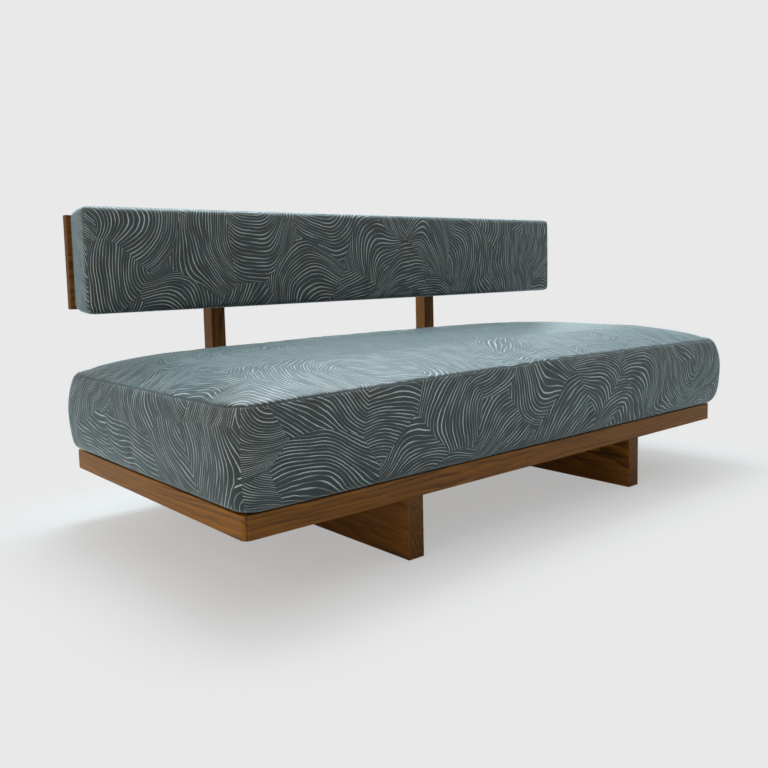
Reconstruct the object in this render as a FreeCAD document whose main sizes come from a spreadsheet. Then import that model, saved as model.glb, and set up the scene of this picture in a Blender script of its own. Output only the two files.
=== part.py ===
"""Upholstered daybed sofa: a boxed seat cushion on a mitred oak platform with two slab legs,
and a padded back panel on two posts. Millimetres, +Z up, front toward -Y, origin on the floor
under the middle of the whole sofa."""
import FreeCAD, Part
import math
import os
import re
import Sketcher

from FreeCAD import Placement, Rotation, Vector

doc = FreeCAD.newDocument("DaybedSofa")

# Driving dimensions in millimetres, and the counts of screws and bolts
SIZES = {
    # platform frame
    "frame_length": 1905,
    "frame_depth": 930,
    "rail_height": 54,
    "rail_thick": 22,
    "corner_round": 18,
    "arris": 1.5,
    "joint_clearance": 0.15,
    # mitre keys and glue blocks in the corners
    "key_length": 14,
    "key_width": 12,
    "key_thick": 4,
    "key_setback": 14,
    "block_side": 45,
    "block_height": 30,
    "block_screw_edge": 9,
    # deck, ledgers and cross bearers
    "deck_thick": 18,
    "deck_gap": 0.5,
    "ledger_side": 20,
    "ledger_gap": 0.5,
    "bearer_width": 90,
    # slab legs, their felt pads and their coach bolts
    "leg_height": 156,
    "leg_inset": 455,
    "slab_thick": 50,
    "felt_thick": 2,
    "felt_width": 30,
    "felt_length": 80,
    "felt_setback": 20,
    "bolt_radius": 4,
    "bolt_head_radius": 7.5,
    "bolt_head_height": 5.3,
    "bolt_key_radius": 3.5,
    "coach_bolt_reach": 60,
    "coach_bolt_setback": 150,
    "washer_radius": 10,
    "washer_thick": 1.6,
    "counterbore_radius": 12,
    "counterbore_depth": 12,
    "bore_clearance": 0.2,
    # back posts and their bolts
    "post_depth": 52,
    "post_top_drop": 16,
    "post_felt_side": 36,
    "post_bolt_rise": 26,
    "post_bolt_drop": 76,
    "nut_setback": 60,
    "nut_radius": 6,
    "nut_length": 24,
    # back panel and the screws that hold it to the posts
    "panel_thick": 22,
    "panel_low": 615,
    "panel_height": 266,
    "panel_screw_edge": 45,
    "panel_screw_sink": 22,
    "panel_screw_bite": 15,
    # wood screws
    "screw_radius": 2,
    "screw_head_radius": 4.2,
    "screw_head_height": 2.6,
    "screw_bite": 12,
    "deck_screw_edge": 70,
    "deck_screw_offset": 28,
    "ledger_screw_edge": 120,
    "lip_screw_offset": 34,
    # back pad
    "back_pad_inset": 13,
    "back_pad_depth": 173,
    "back_pad_height": 274,
    "back_pad_drop": 2,
    "back_pad_bulge": 33,
    "back_pad_swell": 9,
    "back_seam_draw": 8,
    "back_pad_crown": 22,
    "back_pad_flat": 50,
    "back_pad_round": 20,
    "back_board_thick": 12,
    "back_wrap_thick": 10,
    "back_screw_edge": 152,
    "back_screw_stop": 4,
    # seat cushion
    "seat_overhang": 29,
    "seat_foot_inset": 2,
    "seat_back_gap": 10,
    "seat_boxing": 229,
    "seat_seam_draw": 10,
    "seat_crown": 45,
    "seat_flat": 270,
    "seat_round": 48,
    "soft_gap": 0.3,
    "cover_thick": 1.5,
    "seat_wrap_thick": 12,
    # zip in the rear boxing
    "zip_edge": 202,
    "zip_width": 7,
    "zip_thick": 1.6,
    "slider_length": 16,
    "slider_height": 11,
    "slider_depth": 4.5,
    "slider_end_gap": 12,
    # counts
    "long_ledger_screws": 6,
    "end_ledger_screws": 3,
    "bearer_deck_screws": 4,
    "end_deck_screws": 4,
    "back_screw_columns": 5,
    "coach_bolts_each": 3,
}
sheet = doc.addObject("Spreadsheet::Sheet", "Sizes")
for line, (alias, amount) in enumerate(SIZES.items(), start=1):
    sheet.set(f"A{line}", alias)
    sheet.set(f"B{line}", str(amount))
    sheet.setAlias(f"B{line}", alias)

# Planes and lines that follow from the driving dimensions
PLACES = {
    "front_face": "(seat_overhang - frame_depth - post_depth) / 2",
    "back_face": "front_face + frame_depth",
    "middle": "front_face + frame_depth / 2",
    "half_length": "frame_length / 2",
    "rail_top": "leg_height + rail_height",
    "deck_low": "rail_top - deck_thick",
    "ledger_low": "deck_low - ledger_side",
    "ledger_reach": "rail_thick + block_side + ledger_gap",
    "end_ledger_line": "half_length - rail_thick - ledger_side / 2",
    "leg_centre": "half_length - leg_inset - slab_thick / 2",
    "post_rear": "back_face + post_depth",
    "panel_front": "back_face - panel_thick",
    "panel_top": "panel_low + panel_height",
    "post_top": "panel_top - post_top_drop",
    "nut_line": "back_face - nut_setback",
    "coach_bolt_seat": "deck_low - counterbore_depth",
    "post_bolt_seat": "post_rear - counterbore_depth",
    "seat_foot": "rail_top + soft_gap",
    "seat_rear": "back_face - seat_back_gap",
    "zip_length": "frame_length - 2 * zip_edge",
}
places = doc.addObject("App::VarSet", "Places")


def formula(text):
    """Point the names in a formula at the sheet and at the places."""
    def owner(match):
        word = match[0]
        return f"Sizes.{word}" if word in SIZES else f"Places.{word}" if word in PLACES else word
    return re.sub(r"[a-z_]+", owner, text)


for word, text in PLACES.items():
    places.addProperty("App::PropertyFloat", word)
    places.setExpression(word, formula(text))
gauge = doc.addObject("App::VarSet", "Gauge")
gauge.addProperty("App::PropertyFloat", "reading")
doc.recompute()


def number(text):
    """The present value of a formula."""
    gauge.setExpression("reading", formula(text))
    gauge.recompute()
    return gauge.reading


# Plain shapes whose sizes and places stay bound to formulas

ALONG = {
    "up": Rotation(),
    "down": Rotation(Vector(1, 0, 0), 180),
    "back": Rotation(Vector(1, 0, 0), -90),
    "forward": Rotation(Vector(1, 0, 0), 90),
    "right": Rotation(Vector(0, 1, 0), 90),
    "left": Rotation(Vector(0, 1, 0), -90),
}


def put(thing, spot, turn=Rotation()):
    """Place a shape's own origin at three formulas."""
    thing.Placement = Placement(Vector(), turn)
    for axis, text in zip("xyz", spot):
        thing.setExpression(f"Placement.Base.{axis}", formula(text))
    return thing


def block(name, x_mid, y_low, z_low, length, depth, height):
    """A square-edged block, from the middle of its length and its low faces."""
    thing = doc.addObject("Part::Box", name)
    for side, text in (("Length", length), ("Width", depth), ("Height", height)):
        thing.setExpression(side, formula(text))
    return put(thing, (f"{x_mid} - ({length}) / 2", y_low, z_low))


def rod(name, spot, way, radius, length):
    """A round bar, or the bore for one, from a point and one of the six directions."""
    thing = doc.addObject("Part::Cylinder", name)
    thing.setExpression("Radius", formula(radius))
    thing.setExpression("Height", formula(length))
    return put(thing, spot, ALONG[way])


def taper(name, spot, way, wide, narrow, length):
    """A countersunk head, or its seat."""
    thing = doc.addObject("Part::Cone", name)
    thing.setExpression("Radius1", formula(wide))
    thing.setExpression("Radius2", formula(narrow))
    thing.setExpression("Height", formula(length))
    return put(thing, spot, ALONG[way])


def fused(name, things):
    whole = doc.addObject("Part::MultiFuse", name)
    whole.Shapes = things
    return whole


def grouped(name, things):
    """Separate solids that share one node."""
    group = doc.addObject("Part::Compound", name)
    group.Links = things
    return group


def cut(name, base, tools):
    """A piece with its holes and housings taken out."""
    piece = doc.addObject("Part::Cut", name)
    piece.Base = base
    piece.Tool = tools[0] if len(tools) == 1 else grouped(name + "_holes", tools)
    return piece


def spread(count, reach):
    """Formulas for a row of places from -reach to +reach."""
    steps = int(number(count)) - 1
    return [f"({reach}) * {2 * i / steps - 1:.6f}" for i in range(steps + 1)]


def arc_between(start, end, radius):
    """An anticlockwise arc in a sketch, from one point to the next."""
    chord = end - start
    rise = math.sqrt(radius**2 - chord.Length**2 / 4)
    centre = (start + end) / 2 + Vector(-chord.y, chord.x, 0).normalize() * rise
    first = math.atan2(start.y - centre.y, start.x - centre.x)
    last = math.atan2(end.y - centre.y, end.x - centre.x)
    return Part.ArcOfCircle(Part.Circle(centre, Vector(0, 0, 1), radius), first, last)


def board(name, outline, z_low, height, eased):
    """A board padded up from its plan, with some of its edges softly rounded.

    The plan runs anticlockwise. Each corner is a pair of formulas, with a third for the
    radius where the side that starts there is an arc. eased says which edges are rounded.
    """
    body = doc.addObject("PartDesign::Body", name)
    sketch = body.newObject("Sketcher::SketchObject", name + "_plan")
    plane = next(item for item in body.Origin.OriginFeatures if item.Role == "XY_Plane")
    sketch.AttachmentSupport = (plane, "")
    sketch.MapMode = "FlatFace"
    sketch.setExpression("AttachmentOffset.Base.z", formula(z_low))
    spots = [Vector(number(corner[0]), number(corner[1]), 0) for corner in outline]
    for i, corner in enumerate(outline):
        start, end = spots[i], spots[(i + 1) % len(spots)]
        straight = len(corner) == 2
        if straight:
            sketch.addGeometry(Part.LineSegment(start, end))
        else:
            sketch.addGeometry(arc_between(start, end, number(corner[2])))
    for i, corner in enumerate(outline):
        sketch.addConstraint(Sketcher.Constraint("Coincident", (i or len(spots)) - 1, 2, i, 1))
        for way, amount, text in (("DistanceX", spots[i].x, corner[0]),
                                  ("DistanceY", spots[i].y, corner[1])):
            held = sketch.addConstraint(Sketcher.Constraint(way, -1, 1, i, 1, amount))
            sketch.setExpression(f"Constraints[{held}]", formula(text))
        if len(corner) == 3:
            held = sketch.addConstraint(Sketcher.Constraint("Radius", i, number(corner[2])))
            sketch.setExpression(f"Constraints[{held}]", formula(corner[2]))
    pad = body.newObject("PartDesign::Pad", name + "_sawn")
    pad.Profile = sketch
    pad.setExpression("Length", formula(height))
    sketch.recompute()
    pad.recompute()
    edges = [f"Edge{i}" for i, edge in enumerate(pad.Shape.Edges, start=1) if eased(edge.CenterOfMass)]
    arris = body.newObject("PartDesign::Fillet", name + "_arris")
    arris.Base = (pad, edges)
    arris.setExpression("Radius", formula("arris"))
    return body


def rectangle(x_low, x_high, y_low, y_high):
    return [(x_low, y_low), (x_high, y_low), (x_high, y_high), (x_low, y_high)]


def wood_screw(name, spot, way, length):
    """A countersunk screw and, apart, its hole with a little clearance."""
    head = taper(name + "_head", spot, way, "screw_head_radius", "screw_radius", "screw_head_height")
    shank = rod(name + "_shank", spot, way, "screw_radius", length)
    seat = taper(name + "_seat", spot, way, "screw_head_radius + joint_clearance",
                 "screw_radius + joint_clearance", "screw_head_height + joint_clearance")
    hole = rod(name + "_hole", spot, way, "screw_radius + joint_clearance",
               f"{length} + joint_clearance")
    return fused(name, [head, shank]), fused(name + "_drilled", [seat, hole])


nodes = {}
hole_sets = {}


def screws(node, rows):
    """One node of like screws; each row is a name for its holes and a list of screws."""
    made = []
    for row, settings in rows.items():
        pairs = [wood_screw(f"{node}_{row}_{i}", *setting) for i, setting in enumerate(settings)]
        made += [screw for screw, hole in pairs]
        hole_sets[row] = [hole for screw, hole in pairs]
    nodes[node] = grouped(node, made)


HANDS = {"left": "-1", "right": "1"}

# Mitre keys: small plates let in across each corner joint of the frame

key_slots = {}
keys = []
for end, x_sign in (("front", "1"), ("back", "-1")):
    for hand, hand_sign in HANDS.items():
        x_spot = f"{hand_sign} * (half_length - key_setback)"
        y_spot = "front_face + key_setback" if end == "front" else "back_face - key_setback"
        turn = 45 if (end == "front") == (hand == "left") else -45
        for made, spare in ((keys, "0"), (key_slots.setdefault((end, hand), []), "joint_clearance")):
            plate = doc.addObject("Part::Box", f"key_{end}_{hand}")
            plate.setExpression("Length", formula(f"key_length + 2 * {spare}"))
            plate.setExpression("Width", formula(f"key_width + 2 * {spare}"))
            plate.setExpression("Height", formula(f"key_thick + 2 * {spare}"))
            put(plate, [f"-{side} / 2 - {spare}" for side in ("key_length", "key_width", "key_thick")])
            turned = grouped(f"key_{end}_{hand}_turned", [plate])
            put(turned, (x_spot, y_spot, "leg_height + rail_height / 2"), Rotation(Vector(0, 0, 1), turn))
            made.append(turned)
nodes["mitre_keys"] = grouped("mitre_keys", keys)

# Corner glue blocks, square, under the deck and screwed both ways into the rails

corner_blocks = []
block_rows = {"front": [], "back": [], "left": [], "right": []}
for end in ("front", "back"):
    for hand, hand_sign in HANDS.items():
        x_spot = f"{hand_sign} * (half_length - rail_thick - block_side / 2)"
        y_spot = "front_face + rail_thick" if end == "front" else "back_face - rail_thick - block_side"
        corner_blocks.append((end, hand, block(f"block_{end}_{hand}", x_spot, y_spot,
                              "deck_low - block_height", "block_side", "block_side", "block_height")))
        inner_x = f"{hand_sign} * (half_length - rail_thick - block_side)"
        inner_y = ("front_face + rail_thick + block_side" if end == "front"
                   else "back_face - rail_thick - block_side")
        low = "deck_low - block_height + block_screw_edge"
        high = "deck_low - block_screw_edge"
        block_rows[hand].append(((inner_x, f"{y_spot} + block_side / 2", high), hand,
                                 "(block_side + screw_bite)"))
        block_rows[end].append(((x_spot, inner_y, low), "forward" if end == "front" else "back",
                                "(block_side + screw_bite)"))
screws("block_screws", {"blocks_" + row: spots for row, spots in block_rows.items()})

# Ledgers screwed to the inside of the rails, level with the underside of the deck

ledger_mid_x = "half_length - ledger_reach - ledger_screw_edge"
ledger_mid_y = "frame_depth / 2 - ledger_reach - ledger_screw_edge"
screw_level = "ledger_low + ledger_side / 4"
screws("ledger_screws", {
    "ledger_front": [((x, "front_face + rail_thick + ledger_side", screw_level), "forward",
                      "(ledger_side + screw_bite)") for x in spread("long_ledger_screws", ledger_mid_x)],
    "ledger_back": [((x, "back_face - rail_thick - ledger_side", screw_level), "back",
                     "(ledger_side + screw_bite)") for x in spread("long_ledger_screws", ledger_mid_x)],
    "ledger_left": [(("-(half_length - rail_thick - ledger_side)", f"middle + {y}", screw_level), "left",
                     "(ledger_side + screw_bite)") for y in spread("end_ledger_screws", ledger_mid_y)],
    "ledger_right": [(("half_length - rail_thick - ledger_side", f"middle + {y}", screw_level), "right",
                      "(ledger_side + screw_bite)") for y in spread("end_ledger_screws", ledger_mid_y)],
})

# Screws up through the notched ends of the bearers, and down through the deck

BEARERS = {"left": "-leg_centre", "centre": "0", "right": "leg_centre"}
lip_rows = {}
deck_rows = {}
for name, x_mid in BEARERS.items():
    for end, y_spot in (("front", "front_face + rail_thick + ledger_side / 2"),
                        ("back", "back_face - rail_thick - ledger_side / 2")):
        lip_rows[f"lip_{end}_{name}"] = [
            ((f"{x_mid} + {way} * lip_screw_offset", y_spot, "leg_height"), "up",
             "(ledger_low - leg_height + screw_bite)") for way in ("-1", "1")]
    outward = "-1" if name == "left" else "1"
    deck_rows[f"deck_{name}"] = [
        ((f"{x_mid} + {outward} * deck_screw_offset", f"middle + {y}", "rail_top"), "down",
         "(deck_thick + screw_bite)")
        for y in spread("bearer_deck_screws", "frame_depth / 2 - deck_screw_edge")]
for hand, hand_sign in HANDS.items():
    deck_rows[f"deck_{hand}_end"] = [
        ((f"{hand_sign} * end_ledger_line", f"middle + {y}", "rail_top"), "down",
         "(deck_thick + ledger_side / 2)")
        for y in spread("end_deck_screws", "frame_depth / 2 - ledger_reach - deck_screw_edge")]
screws("bearer_screws", lip_rows)
screws("deck_screws", deck_rows)

# Coach bolts: down through the bearers into the top edge of each slab leg

COACH_LENGTH = "(coach_bolt_seat + washer_thick - leg_height + coach_bolt_reach)"
coach_bolts = []
coach_washers = []
for hand, hand_sign in HANDS.items():
    x_mid = f"{hand_sign} * leg_centre"
    bores, pockets = [], []
    for i, y in enumerate(spread("coach_bolts_each", "frame_depth / 2 - coach_bolt_setback")):
        tag = f"{hand}_{i}"
        seat = (x_mid, f"middle + {y}", "coach_bolt_seat")
        lifted = (x_mid, f"middle + {y}", "coach_bolt_seat + washer_thick")
        head = doc.addObject("Part::Prism", "coach_head_" + tag)
        head.Polygon = 6
        head.setExpression("Circumradius", formula("bolt_head_radius"))
        head.setExpression("Height", formula("bolt_head_height"))
        put(head, lifted)
        shank = rod("coach_shank_" + tag, lifted, "down", "bolt_radius", COACH_LENGTH)
        coach_bolts.append(fused("coach_bolt_" + tag, [head, shank]))
        ring = rod("coach_ring_" + tag, seat, "up", "washer_radius", "washer_thick")
        eye = rod("coach_eye_" + tag, seat, "up", "bolt_radius + bore_clearance", "washer_thick")
        coach_washers.append(cut("coach_washer_" + tag, ring, [eye]))
        bores.append(rod("coach_bore_" + tag, lifted, "down", "bolt_radius + bore_clearance",
                         COACH_LENGTH + " + bore_clearance"))
        pockets.append(rod("coach_pocket_" + tag, seat, "up", "counterbore_radius", "counterbore_depth"))
    hole_sets["coach_" + hand] = bores
    hole_sets["coach_heads_" + hand] = pockets
nodes["coach_bolts"] = grouped("coach_bolts", coach_bolts)
nodes["coach_washers"] = grouped("coach_washers", coach_washers)

# Post bolts: forward through each post, one into the bearer and one into the slab leg, each
# into a barrel nut that is let in from the side

POST_BOLT_LENGTH = "(post_bolt_seat + washer_thick - nut_line + bolt_radius)"
post_bolts = []
post_washers = []
barrel_nuts = []
for hand, hand_sign in HANDS.items():
    x_mid = f"{hand_sign} * leg_centre"
    inward = "left" if hand == "right" else "right"
    for height, level, half_width in (("high", "leg_height + post_bolt_rise", "bearer_width / 2"),
                                      ("low", "leg_height - post_bolt_drop", "slab_thick / 2")):
        tag = f"{hand}_{height}"
        seat = (x_mid, "post_bolt_seat", level)
        lifted = (x_mid, "post_bolt_seat + washer_thick", level)
        head = rod("post_head_" + tag, lifted, "back", "bolt_head_radius", "bolt_radius * 2")
        key = doc.addObject("Part::Prism", "post_key_" + tag)
        key.Polygon = 6
        key.setExpression("Circumradius", formula("bolt_key_radius"))
        key.setExpression("Height", formula("bolt_radius"))
        put(key, (x_mid, "post_bolt_seat + washer_thick + bolt_radius", level), ALONG["back"])
        socket = cut("post_socket_" + tag, head, [key])
        shank = rod("post_shank_" + tag, lifted, "forward", "bolt_radius", POST_BOLT_LENGTH)
        post_bolts.append(fused("post_bolt_" + tag, [socket, shank]))
        ring = rod("post_ring_" + tag, seat, "back", "washer_radius", "washer_thick")
        eye = rod("post_eye_" + tag, seat, "back", "bolt_radius + bore_clearance", "washer_thick")
        post_washers.append(cut("post_washer_" + tag, ring, [eye]))
        bore = rod("post_bore_" + tag, lifted, "forward", "bolt_radius + bore_clearance",
                   POST_BOLT_LENGTH + " + bore_clearance")
        pocket = rod("post_pocket_" + tag, seat, "back", "counterbore_radius", "counterbore_depth")
        far = f"{x_mid} + {hand_sign} * nut_length / 2"
        barrel = rod("nut_body_" + tag, (far, "nut_line", level), inward, "nut_radius", "nut_length")
        barrel_nuts.append(cut("barrel_nut_" + tag, barrel, [bore]))
        well = rod("nut_well_" + tag, (f"{far} + {hand_sign} * bore_clearance", "nut_line", level),
                   inward, "nut_radius + bore_clearance",
                   f"{half_width} + nut_length / 2 + bore_clearance")
        hole_sets["post_bore_" + tag] = [bore]
        hole_sets["post_pocket_" + tag] = [pocket]
        hole_sets["nut_well_" + tag] = [well]
nodes["post_bolts"] = grouped("post_bolts", post_bolts)
nodes["post_washers"] = grouped("post_washers", post_washers)
nodes["barrel_nuts"] = grouped("barrel_nuts", barrel_nuts)

# Screws from sunk holes in the posts into the back panel, and from the panel into the pad board

post_panel_rows = {}
sink_holes = {}
for hand, hand_sign in HANDS.items():
    spots = [(f"{hand_sign} * leg_centre", "post_rear - panel_screw_sink", z)
             for z in ("panel_low + panel_screw_edge", "panel_top - panel_screw_edge")]
    length = "(post_depth - panel_screw_sink + panel_screw_bite)"
    post_panel_rows["panel_" + hand] = [(spot, "forward", length) for spot in spots]
    sink_holes[hand] = [rod(f"sink_{hand}_{i}", spot, "back", "screw_head_radius + bore_clearance",
                            "panel_screw_sink") for i, spot in enumerate(spots)]
screws("panel_screws", post_panel_rows)
screws("back_pad_screws", {"back_pad": [
    ((x, "back_face", z), "forward", "(panel_thick + back_board_thick - back_screw_stop)")
    for x in spread("back_screw_columns", "half_length - back_screw_edge")
    for z in ("panel_low + panel_screw_edge", "panel_top - panel_screw_edge")]})

# Platform rails: oak boards mitred at the corners, with the outer corners well rounded. Each
# rail's plan is written once, u along it and v inward from its outer face.

RAILS = {
    "front_rail": ("{u}", "front_face + {v}", "half_length"),
    "right_end_rail": ("half_length - ({v})", "middle + {u}", "frame_depth / 2"),
    "back_rail": ("-({u})", "back_face - ({v})", "half_length"),
    "left_end_rail": ("-half_length + {v}", "middle - ({u})", "frame_depth / 2"),
}
RAIL_HOLES = {
    "front_rail": ["blocks_front", "ledger_front"],
    "back_rail": ["blocks_back", "ledger_back", "post_bore_left_high", "post_bore_right_high"],
    "left_end_rail": ["blocks_left", "ledger_left"],
    "right_end_rail": ["blocks_right", "ledger_right"],
}
RAIL_KEYS = {
    "front_rail": [("front", "left"), ("front", "right")],
    "back_rail": [("back", "left"), ("back", "right")],
    "left_end_rail": [("front", "left"), ("back", "left")],
    "right_end_rail": [("front", "right"), ("back", "right")],
}
turned_in = "corner_round * (1 - sqrt(2) / 2)"


def inward_depth(rail, spot):
    """How far a point lies inside a rail's outer face."""
    return {
        "front_rail": spot.y - number("front_face"),
        "back_rail": number("back_face") - spot.y,
        "left_end_rail": spot.x + number("half_length"),
        "right_end_rail": number("half_length") - spot.x,
    }[rail]


for rail, (x_form, y_form, half) in RAILS.items():
    outline = []
    for along, inside, *arc in ((f"-{half} + corner_round", "0"),
                                (f"{half} - corner_round", "0", "corner_round"),
                                (f"{half} - {turned_in}", turned_in),
                                (f"{half} - rail_thick", "rail_thick"),
                                (f"-{half} + rail_thick", "rail_thick"),
                                (f"-{half} + {turned_in}", turned_in, "corner_round")):
        spot = {"u": along, "v": inside}
        outline.append((x_form.format(**spot), y_form.format(**spot), *arc))

    def outer_level_edge(spot, rail=rail):
        level = min(abs(spot.z - number("leg_height")), abs(spot.z - number("rail_top"))) < 0.01
        return level and inward_depth(rail, spot) < number(turned_in) - 0.01

    sawn = board(rail + "_stock", outline, "leg_height", "rail_height", outer_level_edge)
    tools = [hole for row in RAIL_HOLES[rail] for hole in hole_sets[row]]
    tools += [slot for corner in RAIL_KEYS[rail] for slot in key_slots[corner]]
    nodes[rail] = cut(rail, sawn, tools)

blocks = []
for end, hand, stock in corner_blocks:
    blocks.append(cut(f"corner_block_{end}_{hand}", stock,
                      hole_sets["blocks_" + end] + hole_sets["blocks_" + hand]))
nodes["corner_blocks"] = grouped("corner_blocks", blocks)

LEDGER_LINES = {"front": "front_face + rail_thick", "back": "back_face - rail_thick - ledger_side"}
long_ledger = "frame_length - 2 * ledger_reach"
for end, y_low in LEDGER_LINES.items():
    stock = block(end + "_ledger_stock", "0", y_low, "ledger_low", long_ledger, "ledger_side",
                  "ledger_side")
    tools = hole_sets["ledger_" + end] + [h for name in BEARERS for h in hole_sets[f"lip_{end}_{name}"]]
    if end == "back":
        tools += hole_sets["post_bore_left_high"] + hole_sets["post_bore_right_high"]
    nodes[end + "_ledger"] = cut(end + "_ledger", stock, tools)
for hand, hand_sign in HANDS.items():
    stock = block(hand + "_ledger_stock", f"{hand_sign} * end_ledger_line", "front_face + ledger_reach",
                  "ledger_low", "ledger_side", "frame_depth - 2 * ledger_reach", "ledger_side")
    nodes[hand + "_end_ledger"] = cut(hand + "_end_ledger", stock,
                                      hole_sets["ledger_" + hand] + hole_sets[f"deck_{hand}_end"])

# Cross bearers, notched over the long ledgers

for name, x_mid in BEARERS.items():
    stock = block(name + "_bearer_stock", x_mid, "front_face + rail_thick", "leg_height",
                  "bearer_width", "frame_depth - 2 * rail_thick", "deck_low - leg_height")
    tools = [block(f"{name}_notch_{end}", x_mid, y_low, "ledger_low", "bearer_width", "ledger_side",
                   "ledger_side") for end, y_low in LEDGER_LINES.items()]
    tools += [h for end in ("front", "back") for h in hole_sets[f"lip_{end}_{name}"]]
    tools += hole_sets["deck_" + name]
    if name in HANDS:
        for row in (f"coach_{name}", f"coach_heads_{name}", f"post_bore_{name}_high",
                    f"nut_well_{name}_high"):
            tools += hole_sets[row]
    nodes[name + "_bearer"] = cut(name + "_bearer", stock, tools)

# Plywood deck, let in level with the top of the rails

stock = block("deck_stock", "0", "front_face + rail_thick + deck_gap", "deck_low",
              "frame_length - 2 * (rail_thick + deck_gap)", "frame_depth - 2 * (rail_thick + deck_gap)",
              "deck_thick")
nodes["seat_deck"] = cut("seat_deck", stock, [h for row in deck_rows for h in hole_sets[row]])

# Slab legs and back posts, in line with each other, on felt pads

felt_pads = []
for hand, hand_sign in HANDS.items():
    x_mid = f"{hand_sign} * leg_centre"
    across = (f"{x_mid} - slab_thick / 2", f"{x_mid} + slab_thick / 2")
    slab = board(hand + "_leg_stock", rectangle(*across, "front_face", "back_face"), "felt_thick",
                 "leg_height - felt_thick", lambda spot: spot.z < number("leg_height") - 0.01)
    tools = [h for row in (f"coach_{hand}", f"post_bore_{hand}_low", f"nut_well_{hand}_low")
             for h in hole_sets[row]]
    nodes[hand + "_leg"] = cut(hand + "_leg", slab, tools)
    post = board(hand + "_post_stock", rectangle(*across, "back_face", "post_rear"), "felt_thick",
                 "post_top - felt_thick", lambda spot: True)
    tools = [h for row in (f"post_bore_{hand}_high", f"post_bore_{hand}_low",
                           f"post_pocket_{hand}_high", f"post_pocket_{hand}_low")
             for h in hole_sets[row]]
    tools += hole_sets["panel_" + hand] + sink_holes[hand]
    nodes[hand + "_post"] = cut(hand + "_post", post, tools)
    for spot, y_low in (("front", "front_face + felt_setback"),
                        ("rear", "back_face - felt_setback - felt_length")):
        felt_pads.append(block(f"felt_{hand}_{spot}", x_mid, y_low, "0", "felt_width", "felt_length",
                               "felt_thick"))
    felt_pads.append(block(f"felt_{hand}_post", x_mid,
                           "back_face + (post_depth - post_felt_side) / 2", "0",
                           "post_felt_side", "post_felt_side", "felt_thick"))
nodes["felt_pads"] = grouped("felt_pads", felt_pads)

# Back panel, a thin wide board screwed to the front of the posts

panel = board("back_panel_stock", rectangle("-half_length", "half_length", "panel_front", "back_face"),
              "panel_low", "panel_height", lambda spot: True)
nodes["back_panel"] = cut("back_panel", panel,
                          hole_sets["panel_left"] + hole_sets["panel_right"] + hole_sets["back_pad"])

# Soft forms: a belly between two seams, then a crown that rolls in to a flat middle. A corner's
# radius takes at most ROUND_LIMIT of half a side, and opens out by CROWN_OPENING of the roll-in.

BELLY_STEPS = (0, 0.12, 0.3, 0.85, 1)
CROWN_STEPS = 6
ROUND_LIMIT = 0.9
CROWN_OPENING = 0.2


def bow(seam_share):
    """How strongly a belly bows out so that its fullest line has grown by exactly 1."""
    lean = 1 - seam_share / 2
    return (lean + math.sqrt(lean**2 - seam_share**2 / 4)) / 2


def fullest(seam_share):
    """Where a belly is fullest, from 0 at its foot to 1 at its seam."""
    return 0.5 + seam_share / (8 * bow(seam_share))


def belly(seam_share):
    """Growth from 0 at the foot to a full 1, falling back to a share of it at the seam."""
    steps = sorted((*BELLY_STEPS, fullest(seam_share)))
    return [(t, seam_share * t + 4 * bow(seam_share) * t * (1 - t)) for t in steps]


def rounded_loop(u_half, v_low, v_high, radius, lift):
    """A rounded rectangle, centred across, lifted into space by a function of its two ways."""
    radius = min(radius, ROUND_LIMIT * u_half, ROUND_LIMIT * (v_high - v_low) / 2)
    corners = ((u_half, v_low, -90), (u_half, v_high, 0), (-u_half, v_high, 90), (-u_half, v_low, 180))
    edges = []
    last = None
    for u, v, start in corners:
        centre_u = u - math.copysign(radius, u)
        centre_v = v + radius if v == v_low else v - radius
        arc = [lift(centre_u + radius * math.cos(math.radians(start + turn)),
                    centre_v + radius * math.sin(math.radians(start + turn))) for turn in (0, 45, 90)]
        if last is not None:
            edges.append(Part.LineSegment(last, arc[0]).toShape())
        else:
            first = arc[0]
        edges.append(Part.Arc(*arc).toShape())
        last = arc[2]
    edges.append(Part.LineSegment(last, first).toShape())
    return Part.Wire(edges)


def crowned(side_loops, crown_loops):
    """One soft solid from its boxing and its crown, with a seam between them."""
    return Part.makeLoft(side_loops, True, False).fuse(Part.makeLoft(crown_loops, True, False))


seat_full = number("seat_overhang + seat_foot_inset")
seat_seam_growth = seat_full - number("seat_seam_draw")


def seat_form(inset):
    """The seat cushion, or what fills it, drawn in from the outside by an inset."""
    x_half = number("half_length - seat_foot_inset")
    y_low = number("front_face + seat_foot_inset")
    y_high = number("seat_rear") - seat_full
    foot, seam = number("seat_foot") + inset, number("seat_foot + seat_boxing")
    run = (y_high - y_low + 2 * seat_seam_growth - number("seat_flat")) / 2

    def loop(height, growth):
        radius = number("seat_round") - seat_full + max(growth, 0) - inset / 2
        return rounded_loop(x_half + growth - inset, y_low - growth + inset, y_high + growth - inset,
                            radius, lambda u, v: Vector(u, v, height))

    side = [loop(foot + t * (seam - foot), seat_full * share)
            for t, share in belly(seat_seam_growth / seat_full)]
    crown = []
    for step in range(CROWN_STEPS + 1):
        turn = math.pi / 2 * step / CROWN_STEPS
        crown.append(loop(seam + (number("seat_crown") - inset) * math.sin(turn),
                          seat_seam_growth - run * (1 - math.cos(turn))))
    return crowned(side, crown)


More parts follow.
